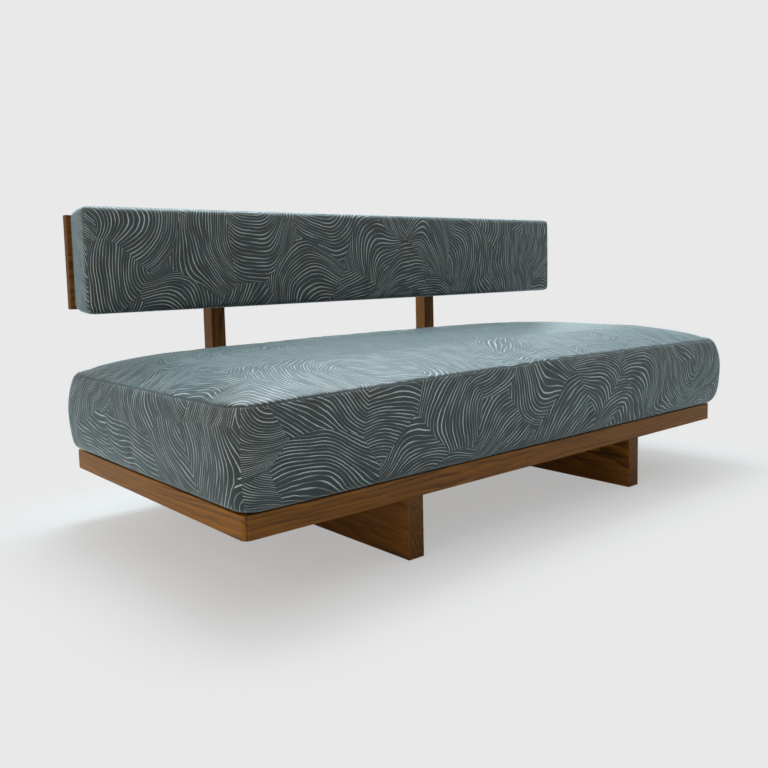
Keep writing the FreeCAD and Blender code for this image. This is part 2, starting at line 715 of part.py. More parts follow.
def back_form(inset):
    """The back pad, or what fills it, drawn in from the outside by an inset."""
    x_half = number("half_length - back_pad_inset")
    z_low = number("panel_low - back_pad_drop")
    z_high = z_low + number("back_pad_height")
    rear = number("panel_front - soft_gap")
    depth, crown_depth = number("back_pad_depth"), number("back_pad_crown")
    bulge, swell = number("back_pad_bulge"), number("back_pad_swell")
    seam_share = 1 - number("back_seam_draw") / bulge
    run = (number("back_pad_height") + 2 * swell * seam_share - number("back_pad_flat")) / 2

    def loop(forward, growth, inward=0):
        draw = inset + inward
        radius = number("back_pad_round") + inward * CROWN_OPENING - inset / 2
        return rounded_loop(x_half + bulge * growth - draw, z_low - swell * growth + draw,
                            z_high + swell * growth - draw, radius,
                            lambda u, v: Vector(u, rear - forward, v))

    side = [loop(t * depth, share) for t, share in belly(seam_share)]
    crown = []
    for step in range(CROWN_STEPS + 1):
        turn = math.pi / 2 * step / CROWN_STEPS
        crown.append(loop(depth + (crown_depth - inset) * math.sin(turn), seam_share,
                          run * (1 - math.cos(turn))))
    return crowned(side, crown)


def soft(name, shape):
    piece = doc.addObject("Part::Feature", name)
    piece.Shape = shape
    piece.Placement = Placement()
    nodes[name] = piece


cover, gap = number("cover_thick"), number("soft_gap")
seat_wrap = cover + gap
seat_core = seat_wrap + number("seat_wrap_thick")
soft("seat_cover", seat_form(0).cut(seat_form(cover)))
soft("seat_fibre_wrap", seat_form(seat_wrap).cut(seat_form(seat_core)))
soft("seat_foam", seat_form(seat_core + gap))

back_wrap = cover + gap
back_core = back_wrap + number("back_wrap_thick")
board_room = Part.makeBox(number("frame_length"), number("back_board_thick") + 2 * gap,
                          number("panel_top"),
                          Vector(-number("half_length"), number("panel_front - back_board_thick") - gap,
                                 number("panel_low") / 2))
soft("back_pad_cover", back_form(0).cut(back_form(cover)))
soft("back_pad_wrap", back_form(back_wrap).cut(back_form(back_core)).cut(board_room))
soft("back_pad_foam", back_form(back_core + gap).cut(board_room))

# Plywood board that the back pad is built on, its corners rounded as the pad's are, and screwed
# from behind through the panel

board_half = "(half_length - back_pad_inset - cover_thick - soft_gap)"
board_low = "panel_low - back_pad_drop + cover_thick + soft_gap"
board_height = "(back_pad_height - 2 * (cover_thick + soft_gap))"
board_front = "panel_front - back_board_thick"
boards = [block("back_board_wide", "0", board_front, f"{board_low} + back_pad_round",
                f"2 * {board_half}", "back_board_thick", f"{board_height} - 2 * back_pad_round"),
          block("back_board_tall", "0", board_front, board_low,
                f"2 * ({board_half} - back_pad_round)", "back_board_thick", board_height)]
for hand, hand_sign in HANDS.items():
    for end, z in (("low", f"{board_low} + back_pad_round"),
                   ("high", f"{board_low} + {board_height} - back_pad_round")):
        spot = (f"{hand_sign} * ({board_half} - back_pad_round)", board_front, z)
        boards.append(rod(f"back_board_corner_{hand}_{end}", spot, "back", "back_pad_round",
                          "back_board_thick"))
nodes["back_pad_board"] = cut("back_pad_board", fused("back_board_stock", boards), hole_sets["back_pad"])

# Zip along the rear boxing of the seat cushion, with a slider that straddles the chain

zip_height = f"seat_foot + seat_boxing * {fullest(seat_seam_growth / seat_full):.6f}"
nodes["zip_chain"] = block("zip_chain", "0", "seat_rear + soft_gap", f"{zip_height} - zip_width / 2",
                           "zip_length", "zip_thick", "zip_width")
slider_mid = "zip_length / 2 - slider_end_gap - slider_length / 2"
stock = block("slider_stock", slider_mid, "seat_rear + 2 * soft_gap",
              f"{zip_height} - slider_height / 2", "slider_length", "slider_depth", "slider_height")
groove = block("slider_groove", slider_mid, "seat_rear", f"{zip_height} - zip_width / 2 - soft_gap",
               "slider_length + 2 * soft_gap", "zip_thick + 2 * soft_gap", "zip_width + 2 * soft_gap")
nodes["zip_slider"] = cut("zip_slider", stock, [groove])

# Check every object, then write one file for each piece

doc.recompute()
for thing in doc.Objects:
    if "Invalid" in thing.State or "Error" in thing.State:
        raise RuntimeError(f"{thing.Name} did not rebuild: {thing.State}")
os.makedirs("parts", exist_ok=True)
for name, piece in nodes.items():
    if piece.Shape.isNull() or not piece.Shape.isValid():
        raise RuntimeError(f"{name} has no sound shape")
    piece.Label = name
for name, piece in nodes.items():
    piece.Shape.exportStep(f"parts/{name}.step")
    low, high = piece.Shape.BoundBox.ZMin, piece.Shape.BoundBox.ZMax
    print(f"{name}: {len(piece.Shape.Solids)} solids, {piece.Shape.Volume / 1000:.1f} cm3, "
          f"z {low:.1f} to {high:.1f}")
print(len(nodes), "nodes")
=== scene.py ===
import math

import bmesh
import bpy
import numpy as np
from mathutils import Matrix, Vector, noise


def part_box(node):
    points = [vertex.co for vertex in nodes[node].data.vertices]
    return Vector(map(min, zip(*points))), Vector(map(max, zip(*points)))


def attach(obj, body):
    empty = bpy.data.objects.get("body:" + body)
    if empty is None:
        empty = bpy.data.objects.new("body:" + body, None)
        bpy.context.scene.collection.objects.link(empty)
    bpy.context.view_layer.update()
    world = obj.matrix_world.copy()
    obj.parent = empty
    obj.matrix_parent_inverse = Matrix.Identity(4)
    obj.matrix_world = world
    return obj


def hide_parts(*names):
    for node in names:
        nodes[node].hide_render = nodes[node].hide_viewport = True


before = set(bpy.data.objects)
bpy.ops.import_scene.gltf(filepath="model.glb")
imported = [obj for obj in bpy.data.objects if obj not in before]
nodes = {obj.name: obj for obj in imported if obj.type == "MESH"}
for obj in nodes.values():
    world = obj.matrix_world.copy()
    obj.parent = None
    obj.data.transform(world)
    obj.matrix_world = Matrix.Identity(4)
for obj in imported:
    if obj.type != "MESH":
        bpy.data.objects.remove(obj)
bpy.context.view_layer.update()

scene = bpy.context.scene
scene.view_settings.view_transform = "Standard"

# Platform rails: oiled medium brown oak boards, planed and mitred, with the grain along each board.
# Splines called mitre keys and glued blocks inside hold the corners. Oil and handling leave the
# edges a little paler.

# A Mix node's colour sockets go by number: its two inputs and its result
MIX_A, MIX_B, MIX_RESULT = 6, 7, 2
# A wave texture of scale 1 repeats every 314 mm
WAVE_MM = 314
EDGE_WEAR = 0.0025
GLUE_LINE = (0.0006, 0.0026)
RAIL_LOW, RAIL_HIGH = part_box("front_rail")
RAIL_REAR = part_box("back_rail")[1].y
RAIL_MIDDLE = (0, (RAIL_LOW.y + RAIL_REAR) / 2, 0)
RAIL_REACH = (RAIL_HIGH.x, (RAIL_REAR - RAIL_LOW.y) / 2, 0)


def colour(hex_code):
    """An sRGB hex colour as the linear colour that a shader takes."""
    parts = [int(hex_code[i:i + 2], 16) / 255 for i in (0, 2, 4)]
    return [c / 12.92 if c <= 0.04045 else ((c + 0.055) / 1.055) ** 2.4 for c in parts] + [1]


def add(tree, kind, links=None, **settings):
    """Add a node. Settings are its own properties, links feed its inputs: values or other nodes."""
    made = tree.nodes.new("ShaderNode" + kind)
    for name, value in settings.items():
        setattr(made, name, value)
    for socket, value in (links or {}).items():
        if isinstance(value, bpy.types.Node):
            value = value.outputs[0]
        if isinstance(value, bpy.types.NodeSocket):
            tree.links.new(value, made.inputs[socket])
        else:
            made.inputs[socket].default_value = value
    return made


def start(name):
    """An empty material and its shader."""
    material = bpy.data.materials.new(name)
    material.use_nodes = True
    shader = material.node_tree.nodes["Principled BSDF"]
    return material, material.node_tree, shader


def timber(name, grain, seed, pale, middle, dark, ring_mm, rough, mitred=False):
    """Planed timber: growth rings, streaks and pores drawn out along the grain.
    It gives the eye an arched figure, fine dark pores, rubbed edges and a satin gloss that follows
    the streaks. A mitred board shows the dark glue line where it meets the next one."""
    material, tree, shader = start(name)
    turn = {"x": (0, 0, 0), "y": (0, 0, math.pi / 2), "z": (0, math.pi / 2, 0)}[grain]
    place = add(tree, "TexCoord").outputs["Object"]
    log_place = (seed * 3.7, seed * 0.61, 0.35 + seed * 0.23)
    board = add(tree, "Mapping", {"Vector": place, "Location": log_place, "Rotation": turn})
    # The trunk wanders a few centimetres along a board, which makes the flat-sawn arches
    long_way = add(tree, "VectorMath", {0: board, 1: (1.1, 5.5, 5.5)}, operation="MULTIPLY")
    wander = add(tree, "TexNoise", {"Vector": long_way, "Scale": 1.0, "Detail": 3.0,
                                    "Roughness": 0.45})
    bent = add(tree, "VectorMath", {0: wander.outputs["Color"], 1: (0, 0.13, 0.13), 2: board},
               operation="MULTIPLY_ADD")
    rings = add(tree, "TexWave", {"Vector": bent, "Scale": WAVE_MM / ring_mm, "Distortion": 1.2,
                                  "Detail": 2.0, "Detail Scale": 0.6},
                wave_type="RINGS", rings_direction="X", wave_profile="SAW")
    # Streaks a few millimetres wide, from darker heartwood and mineral lines
    streak_way = add(tree, "VectorMath", {0: bent, 1: (2.2, 120, 120)}, operation="MULTIPLY")
    streaks = add(tree, "TexNoise", {"Vector": streak_way, "Scale": 1.0, "Detail": 4.0,
                                     "Roughness": 0.6})
    # Open pores are 0.3 mm wide in the wood; they are drawn 1 mm wide so that they show
    pore_way = add(tree, "VectorMath", {0: bent, 1: (70, 1000, 1000)}, operation="MULTIPLY")
    pores = add(tree, "TexNoise", {"Vector": pore_way, "Scale": 1.0, "Detail": 2.0})
    pore_mask = add(tree, "MapRange", {"Value": pores, "From Min": 0.6, "From Max": 0.74})
    # The figure is strong in some places and faint in others
    patches = add(tree, "TexNoise", {"Vector": long_way, "Scale": 1.7, "Detail": 1.0})
    strength = add(tree, "MapRange", {"Value": patches, "From Min": 0.35, "From Max": 0.65,
                                      "To Min": 0.08, "To Max": 0.42})
    figure = add(tree, "Math", {0: rings, 1: 0.5}, operation="SUBTRACT")
    plain = add(tree, "Math", {0: streaks, 1: 0.85, 2: 0.14}, operation="MULTIPLY_ADD")
    tone = add(tree, "Math", {0: figure, 1: strength, 2: plain}, operation="MULTIPLY_ADD")
    ramp = add(tree, "ValToRGB", {"Fac": tone})
    steps = ramp.color_ramp.elements
    steps[0].position, steps[0].color = 0.28, colour(dark)
    steps[1].position, steps[1].color = 0.86, colour(pale)
    steps.new(0.55).color = colour(middle)
    oil_held = add(tree, "Math", {0: pore_mask, 1: 0.45}, operation="MULTIPLY")
    pored = add(tree, "Mix", {"Factor": oil_held, MIX_A: ramp, MIX_B: colour(dark)},
                data_type="RGBA")
    # The eased edges rub paler: a softened normal differs from the true one only there
    soft = add(tree, "Bevel", {"Radius": EDGE_WEAR}, samples=4)
    true = add(tree, "NewGeometry").outputs["Normal"]
    match = add(tree, "VectorMath", {0: soft, 1: true}, operation="DOT_PRODUCT").outputs["Value"]
    worn = add(tree, "MapRange", {"Value": match, "From Min": 0.995, "From Max": 0.85,
                                  "To Max": 0.55})
    face = add(tree, "Mix", {"Factor": worn, MIX_A: pored.outputs[MIX_RESULT],
                             MIX_B: colour(pale)}, data_type="RGBA")
    # End grain drinks more oil and is darker
    axis = {"x": (1, 0, 0), "y": (0, 1, 0), "z": (0, 0, 1)}[grain]
    facing = add(tree, "VectorMath", {0: true, 1: axis}, operation="DOT_PRODUCT").outputs["Value"]
    facing = add(tree, "Math", {0: facing}, operation="ABSOLUTE")
    drink = add(tree, "MapRange", {"Value": facing, "From Min": 0.7, "From Max": 1.0, "To Min": 1.0,
                                   "To Max": 0.62})
    face = add(tree, "VectorMath", {0: face.outputs[MIX_RESULT], "Scale": drink},
               operation="SCALE")
    if mitred:
        corner = add(tree, "VectorMath", {0: place, 1: RAIL_MIDDLE}, operation="SUBTRACT")
        corner = add(tree, "VectorMath", {0: corner}, operation="ABSOLUTE")
        corner = add(tree, "VectorMath", {0: RAIL_REACH, 1: corner}, operation="SUBTRACT")
        corner = add(tree, "SeparateXYZ", {0: corner})
        off_line = add(tree, "Math", {0: corner.outputs["X"], 1: corner.outputs["Y"]},
                       operation="SUBTRACT")
        off_line = add(tree, "Math", {0: off_line}, operation="ABSOLUTE")
        glue = add(tree, "MapRange", {"Value": off_line, "From Min": GLUE_LINE[0],
                                      "From Max": GLUE_LINE[1], "To Min": 0.4, "To Max": 1.0})
        face = add(tree, "VectorMath", {0: face, "Scale": glue}, operation="SCALE")
    grain_height = add(tree, "Math", {0: streaks, 1: pore_mask}, operation="SUBTRACT")
    relief = add(tree, "Bump", {"Strength": 0.35, "Distance": 0.0006, "Height": grain_height,
                                "Normal": soft})
    shine = add(tree, "MapRange", {"Value": streaks, "To Min": rough - 0.08,
                                   "To Max": rough + 0.1})
    tree.links.new(face.outputs[0], shader.inputs["Base Color"])
    tree.links.new(shine.outputs[0], shader.inputs["Roughness"])
    tree.links.new(relief.outputs[0], shader.inputs["Normal"])
    shader.inputs["IOR"].default_value = 1.4
    shader.inputs["Specular IOR Level"].default_value = 0.35
    return material


def dress(material, *names):
    """Give CAD nodes a material in place of their plain one."""
    for name in names:
        nodes[name].data.materials.clear()
        nodes[name].data.materials.append(material)


# Pale, middle and dark tone, ring width in mm, roughness. The end rails get paler tones as painted
# light, standing in for the lamp that lights their ends from the left.
OAK = ("a4681f", "805018", "4a2a0a", 13, 0.5)
PAINTED_LIGHT_OAK = ("ba7a26", "94601c", "5c380f", 13, 0.5)
dress(timber("oiled_oak_front", "x", 0.3, *OAK, mitred=True), "front_rail", "mitre_keys")
dress(timber("oiled_oak_back", "x", 1.9, *OAK, mitred=True), "back_rail")
# Painted light: the end rails' paler tones stand in for light falling on their ends from the left.
dress(timber("oiled_oak_left_end_painted_light", "y", 2.6, *PAINTED_LIGHT_OAK, mitred=True), "left_end_rail")
dress(timber("oiled_oak_right_end_painted_light", "y", 4.1, *PAINTED_LIGHT_OAK, mitred=True), "right_end_rail")

# Slab legs and back posts: the same oak in thicker stock, bolted to the bearers under the deck.
# The legs' grain runs front to back, the posts' runs up.

for hand, seed in (("left", 5.2), ("right", 6.7)):
    dress(timber(f"oiled_oak_{hand}_leg", "y", seed, *OAK), f"{hand}_leg")
    dress(timber(f"oiled_oak_{hand}_post", "z", seed + 1, *OAK), f"{hand}_post")

# Back panel: one wide oak board behind the back pad, its grain along the sofa.
# Sunk screws hold it to the two posts.

dress(timber("oiled_oak_panel", "x", 8.4, *OAK), "back_panel")

# Ledgers, bearers and corner blocks: planed beech, left raw, out of sight under the deck.
# They are screwed and glued to the rails and carry the deck.

BEECH = ("d9b98c", "c29a6b", "8f6a42", 3, 0.6)
dress(timber("raw_beech_long", "x", 3.1, *BEECH), "front_ledger", "back_ledger", "corner_blocks")
dress(timber("raw_beech_cross", "y", 7.7, *BEECH), "left_end_ledger", "right_end_ledger",
      "left_bearer", "centre_bearer", "right_bearer")

# Deck and pad board: sanded birch plywood, rotary-cut veneer with a faint wide figure.
# The deck is screwed down on the bearers, the board to the panel through its back.

BIRCH = ("e0c79c", "cfae7c", "a98455", 26, 0.55)
dress(timber("birch_plywood", "x", 11.3, *BIRCH), "seat_deck", "back_pad_board")

# Screws, bolts, washers and barrel nuts: steel with a dull zinc plating.
# Only the heads in the posts' and the panel's rear faces are seen.


def zinc_plated():
    """Zinc plating gives the eye a cool blurred gloss, mottled by a faint bloom."""
    material, tree, shader = start("zinc_plated_steel")
    place = add(tree, "TexCoord").outputs["Object"]
    bloom = add(tree, "TexNoise", {"Vector": place, "Scale": 260, "Detail": 4.0})
    tint = add(tree, "Mix", {"Factor": bloom, MIX_A: colour("9fa2a3"),
                             MIX_B: colour("c4c6c4")}, data_type="RGBA")
    shine = add(tree, "MapRange", {"Value": bloom, "To Min": 0.28, "To Max": 0.5})
    relief = add(tree, "Bump", {"Strength": 0.2, "Distance": 0.0002, "Height": bloom})
    tree.links.new(tint.outputs[MIX_RESULT], shader.inputs["Base Color"])
    tree.links.new(shine.outputs[0], shader.inputs["Roughness"])
    tree.links.new(relief.outputs[0], shader.inputs["Normal"])
    shader.inputs["Metallic"].default_value = 1
    return material


dress(zinc_plated(), "block_screws", "ledger_screws", "bearer_screws", "deck_screws",
      "coach_bolts", "coach_washers", "post_bolts", "post_washers", "barrel_nuts",
      "panel_screws", "back_pad_screws")

# Floor pads: pressed wool felt in dark brown.
# Two are glued under each leg and one under each post, to spare the floor.


def pressed_felt():
    """Pressed felt gives the eye matted dark fibres with no gloss at all."""
    material, tree, shader = start("pressed_wool_felt")
    place = add(tree, "TexCoord").outputs["Object"]
    fibres = add(tree, "TexNoise", {"Vector": place, "Scale": 900, "Detail": 6.0,
                                    "Distortion": 1.5})
    tint = add(tree, "Mix", {"Factor": fibres, MIX_A: colour("1d1814"),
                             MIX_B: colour("4a3f35")}, data_type="RGBA")
    relief = add(tree, "Bump", {"Strength": 0.6, "Distance": 0.0005, "Height": fibres})
    tree.links.new(tint.outputs[MIX_RESULT], shader.inputs["Base Color"])
    tree.links.new(relief.outputs[0], shader.inputs["Normal"])
    shader.inputs["Roughness"].default_value = 0.95
    return material


dress(pressed_felt(), "felt_pads")

# Upholstery cloth: a firm slate teal plain weave printed with a pale flowing line design.
# It is drawn like raked sand: bundles of hand-drawn lines that bend, fan out and meet at an angle.

BUNDLE_MM = 195
LINE_PITCH_MM = 10.2
THREAD_MM = 2.4
DRIFT = 0.1
LINE_BEND = 8.0
LINE_SWAY = 0.045
LINE_SHAKE = 0.0022
LINE_HALF_WIDTH = (0.025, 0.1)
LINE_SOFT_EDGE = 0.05


def printed_cloth(name):
    """The cloth gives the eye crisp pale strokes on a clouded ground, the grain of the threads, a
    cool haze where it turns away, and slight rumples. Its seams are darkened as painted shade in
    their creases."""
    material, tree, shader = start(name)
    flat = add(tree, "UVMap", uv_map="cloth")
    # The whole design drifts, so that no bundle keeps straight sides
    drift = add(tree, "TexNoise", {"Vector": flat, "Scale": 3.2, "Detail": 1.0},
                noise_dimensions="2D").outputs["Color"]
    drifted = add(tree, "VectorMath", {0: drift, 1: (DRIFT, DRIFT, 0), 2: flat},
                  operation="MULTIPLY_ADD")
    bundles = add(tree, "TexVoronoi", {"Vector": drifted, "Scale": 1000 / BUNDLE_MM,
                                       "Randomness": 0.9}, voronoi_dimensions="2D")
    from_middle = add(tree, "VectorMath", {0: drifted, 1: bundles.outputs["Position"]},
                      operation="SUBTRACT")
    chance = add(tree, "SeparateColor", {0: bundles.outputs["Color"]})
    turn = add(tree, "Math", {0: chance.outputs["Red"], 1: 2 * math.pi}, operation="MULTIPLY")
    own_way = add(tree, "VectorRotate", {"Vector": from_middle, "Angle": turn},
                  rotation_type="Z_AXIS")
    way = add(tree, "SeparateXYZ", {0: own_way})
    along, across = way.outputs["X"], way.outputs["Y"]
    # Each bundle bends one way or the other, and every line shakes a little with the hand
    bend = add(tree, "MapRange", {"Value": chance.outputs["Green"], "To Min": -LINE_BEND,
                                  "To Max": LINE_BEND})
    along_squared = add(tree, "Math", {0: along, 1: along}, operation="MULTIPLY")
    bent = add(tree, "Math", {0: along_squared, 1: bend, 2: across}, operation="MULTIPLY_ADD")
    sway = add(tree, "TexNoise", {"Vector": flat, "Scale": 8.0, "Detail": 0.0},
               noise_dimensions="2D")
    swayed = add(tree, "Math", {0: sway, 1: LINE_SWAY, 2: bent}, operation="MULTIPLY_ADD")
    shake = add(tree, "TexNoise", {"Vector": flat, "Scale": 48.0, "Detail": 1.0},
                noise_dimensions="2D")
    shaken = add(tree, "Math", {0: shake, 1: LINE_SHAKE, 2: swayed}, operation="MULTIPLY_ADD")
    pitch = add(tree, "MapRange", {"Value": chance.outputs["Blue"],
                                   "To Min": LINE_PITCH_MM * 0.00082,
                                   "To Max": LINE_PITCH_MM * 0.0012})
    count = add(tree, "Math", {0: shaken, 1: pitch}, operation="DIVIDE")
    share = add(tree, "Math", {0: count}, operation="FRACT")
    off_line = add(tree, "Math", {0: share, 1: 0.5}, operation="SUBTRACT")
    off_line = add(tree, "Math", {0: off_line}, operation="ABSOLUTE")
    line_number = add(tree, "Math", {0: count}, operation="FLOOR")
    # Strokes start, stop, swell and run dry along each line
    stroke_x = add(tree, "Math", {0: along, 1: 14.0}, operation="MULTIPLY")
    stroke_y = add(tree, "Math", {0: line_number, 1: 7.31}, operation="MULTIPLY")
    stroke_place = add(tree, "CombineXYZ", {"X": stroke_x, "Y": stroke_y})
    stroke = add(tree, "TexNoise", {"Vector": stroke_place, "Scale": 1.0, "Detail": 1.0},
                 noise_dimensions="2D")
    half_width = add(tree, "MapRange", {"Value": stroke, "From Min": 0.3, "From Max": 0.7,
                                        "To Min": LINE_HALF_WIDTH[0],
                                        "To Max": LINE_HALF_WIDTH[1]})
    edge = add(tree, "Math", {0: half_width, 1: LINE_SOFT_EDGE}, operation="ADD")
    mark = add(tree, "MapRange", {"Value": off_line, "From Min": edge, "From Max": half_width},
               interpolation_type="SMOOTHSTEP")
    pressure = add(tree, "MapRange", {"Value": stroke, "From Min": 0.32, "From Max": 0.6,
                                      "To Min": 0.4, "To Max": 1.0})
    dry = add(tree, "TexNoise", {"Vector": flat, "Scale": 420.0, "Detail": 2.0},
              noise_dimensions="2D")
    grit = add(tree, "MapRange", {"Value": dry, "From Min": 0.3, "From Max": 0.6, "To Min": 0.55})
    ink = add(tree, "Math", {0: mark, 1: pressure}, operation="MULTIPLY")
    ink = add(tree, "Math", {0: ink, 1: grit}, operation="MULTIPLY")
    # The ground is not even: brown-grey and blue-green yarns cloud into each other
    cloud = add(tree, "TexNoise", {"Vector": flat, "Scale": 16.0, "Detail": 4.0, "Roughness": 0.6},
                noise_dimensions="2D")
    ground = add(tree, "ValToRGB", {"Fac": cloud})
    tints = ground.color_ramp.elements
    tints[0].position, tints[0].color = 0.34, colour("2c3535")
    tints[1].position, tints[1].color = 0.66, colour("2e4043")
    tints.new(0.5).color = colour("343d3c")
    printed = add(tree, "Mix", {"Factor": ink, MIX_A: ground, MIX_B: colour("d8e0db")},
                  data_type="RGBA")
    # Threads are 0.6 mm apart in the cloth; they are drawn four times as coarse so that they show
    threads = [add(tree, "TexWave", {"Vector": flat, "Scale": WAVE_MM / THREAD_MM,
                                     "Distortion": 0.6, "Detail": 1.0, "Detail Scale": 2.0},
                   wave_type="BANDS", bands_direction=way_of) for way_of in ("X", "Y")]
    weave = add(tree, "Math", {0: threads[0], 1: threads[1]}, operation="MULTIPLY")
    shade = add(tree, "MapRange", {"Value": weave, "To Min": 0.86, "To Max": 1.1})
    woven = add(tree, "VectorMath", {0: printed.outputs[MIX_RESULT], "Scale": shade},
                operation="SCALE")
    # Painted shade: the cloth is darkened along the sunk seams, where the crease's shade falls.
    seam = add(tree, "Attribute", attribute_name="seam").outputs["Fac"]
    seam_painted_shade = add(tree, "MapRange", {"Value": seam, "From Min": 0.15, "From Max": 0.6,
                                       "To Max": 0.9})
    sewn = add(tree, "Mix", {"Factor": seam_painted_shade, MIX_A: woven, MIX_B: colour("151b1b")},
               data_type="RGBA")
    rumple = add(tree, "TexNoise", {"Vector": flat, "Scale": 9.0, "Detail": 3.0},
                 noise_dimensions="2D")
    slack = add(tree, "Bump", {"Strength": 0.35, "Distance": 0.006, "Height": rumple})
    relief = add(tree, "Bump", {"Strength": 0.3, "Distance": 0.0006, "Height": weave,
                                "Normal": slack})
    tree.links.new(sewn.outputs[MIX_RESULT], shader.inputs["Base Color"])
    tree.links.new(relief.outputs[0], shader.inputs["Normal"])
    shader.inputs["Roughness"].default_value = 0.5
    shader.inputs["Sheen Weight"].default_value = 0.85
    shader.inputs["Sheen Roughness"].default_value = 0.33
    shader.inputs["Sheen Tint"].default_value = colour("b4dae4")
    return material


# Seat cushion: a boxed cover of that cloth over foam and fibre wrap, with one plain seam round
# its top. It is a box of flat panels first, then bowed and crowned, blown out as cloth and sewn in.
# It lies loose on the deck.

BOTTOM, BOXING, TOP = 0, 1, 2
CLOTH_FRAMES = 20
TOP_PANEL_AWAY = 2


def sewn_box(length, depth, height, cell):
    """A box of cloth panels in a net of square cells, each face marked with its panel."""
    net = bmesh.new()
    bmesh.ops.create_cube(net, size=1)
    bmesh.ops.translate(net, verts=net.verts, vec=(0, 0, 0.5))
    bmesh.ops.scale(net, verts=net.verts, vec=(length, depth, height))
    for axis, size in enumerate((length, depth, height)):
        lines = [e for e in net.edges if abs(e.verts[0].co[axis] - e.verts[1].co[axis]) > size / 2]
        bmesh.ops.subdivide_edges(net, edges=lines, cuts=round(size / cell) - 1)
    panel = net.faces.layers.int.new("panel")
    for face in net.faces:
        face.normal_update()
        face[panel] = TOP if face.normal.z > 0.5 else BOTTOM if face.normal.z < -0.5 else BOXING
    return net


def lay_cloth(net, length, depth, shift):
    """Lay the printed cloth on the flat panels, in metres. The boxing is one strip, cut from
    another part of the cloth than the top."""
    panel = net.faces.layers.int["panel"]
    cloth = net.loops.layers.uv.new("cloth")
    for face in net.faces:
        face.normal_update()
        for corner in face.loops:
            x, y, z = corner.vert.co
            if face[panel] != BOXING:
                spot = (x, y + TOP_PANEL_AWAY)
            elif face.normal.y < -0.5:
                spot = (x, z)
            elif face.normal.x > 0.5:
                spot = (length + y, z)
            elif face.normal.x < -0.5:
                spot = (-length - y, z)
            else:
                spot = (2 * length - x, z)
            corner[cloth].uv = (spot[0] + shift, spot[1])


def turned(over_x, over_y, radius):
    """Bring a point of a square corner on to the quarter round that eases it."""
    if over_x <= 0 or over_y <= 0:
        return over_x, over_y
    angle = math.pi / 4 * (over_y / radius if over_x >= over_y else 2 - over_x / radius)
    return radius * math.cos(angle), radius * math.sin(angle)


def rounded(x, y, half_x, half_y, radius):
    """Move a point of a rectangle so that its corners and those of the rings inside are round."""
    inside = min(half_x - abs(x), half_y - abs(y))
    ring_x, ring_y = half_x - inside, half_y - inside
    turn = max(1e-6, min(radius * math.exp(-inside / (2 * radius)), ring_x, ring_y))
    over_x, over_y = turned(abs(x) - ring_x + turn, abs(y) - ring_y + turn, turn)
    return math.copysign(ring_x - turn + over_x, x), math.copysign(ring_y - turn + over_y, y)


def swelled(share, seam_share, lean):
    """How full the boxing is: nothing at its foot, seam_share at the seam, most between them.
    A smaller lean brings the fullest place lower."""
    return seam_share * share + (1.02 - seam_share / 2) * (1 - abs(2 * share ** lean - 1) ** 3)


def dome(gap, run):
    """Rise of a crown, from 0 at the seam to 1 where it is flat."""
    return math.sqrt(max(0, 1 - (1 - min(gap / run, 1)) ** 2))


def object_of(net, name):
    """A new object with the net for its mesh."""
    piece = bpy.data.objects.new(name, bpy.data.meshes.new(name))
    scene.collection.objects.link(piece)
    net.to_mesh(piece.data)
    return piece


def blow_out(piece, held, pressure, slack, most):
    """Inflate a cover as cloth, with its held points fast, and keep the result.
    No point moves further than its own limit in most."""
    group = piece.vertex_groups.new(name="held")
    group.add(held, 1.0, "REPLACE")
    cloth = piece.modifiers.new("cloth", "CLOTH")
    cloth.settings.vertex_group_mass = "held"
    cloth.settings.use_pressure = True
    cloth.settings.uniform_pressure_force = pressure
    cloth.settings.shrink_min = -slack
    cloth.settings.tension_stiffness = 40
    cloth.settings.compression_stiffness = 40
    cloth.settings.bending_stiffness = 4
    cloth.settings.effector_weights.gravity = 0
    cloth.collision_settings.use_collision = False
    cloth.point_cache.frame_end = CLOTH_FRAMES
    before = np.zeros(len(piece.data.vertices) * 3)
    piece.data.vertices.foreach_get("co", before)
    for number in range(1, CLOTH_FRAMES + 1):
        scene.frame_set(number)
    blown = piece.evaluated_get(bpy.context.evaluated_depsgraph_get()).to_mesh()
    after = np.zeros_like(before)
    blown.vertices.foreach_get("co", after)
    step = (after - before).reshape(-1, 3)
    far = np.linalg.norm(step, axis=1, keepdims=True)
    step *= np.minimum(1, np.reshape(most, (-1, 1)) / np.maximum(far, 1e-9))
    piece.modifiers.remove(cloth)
    piece.vertex_groups.clear()
    piece.data.vertices.foreach_set("co", (before.reshape(-1, 3) + step).ravel())
    scene.frame_set(1)


def sew(piece, seams, strip, draw):
    """Draw the cover in along its seams: a strip each side, and the seam itself sunk and marked;
    the mark darkens the cloth there as painted shade.
    """
    net = bmesh.new()
    net.from_mesh(piece.data)
    panel = net.faces.layers.int["panel"]
    for one in seams:
        bmesh.ops.inset_region(net, faces=[f for f in net.faces if f[panel] == one],
                               thickness=strip, use_even_offset=True)
    mark = net.verts.layers.float.new("seam")
    net.normal_update()
    joined = {v for e in net.edges if len({f[panel] for f in e.link_faces}) == 2 for v in e.verts}
    for vert in joined:
        vert[mark] = 1
    for vert, normal in [(v, v.normal.copy()) for v in joined]:
        vert.co -= normal * draw
    net.to_mesh(piece.data)
    net.free()


def finished(piece, material, body, replaced):
    """Smooth a cover, dress it and put it in place of the solids it stands for."""
    for face in piece.data.polygons:
        face.use_smooth = True
    piece.data.materials.clear()
    piece.data.materials.append(material)
    refine = piece.modifiers.new("refine", "SUBSURF")
    refine.levels = refine.render_levels = 1
    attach(piece, body)
    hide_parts(*replaced)


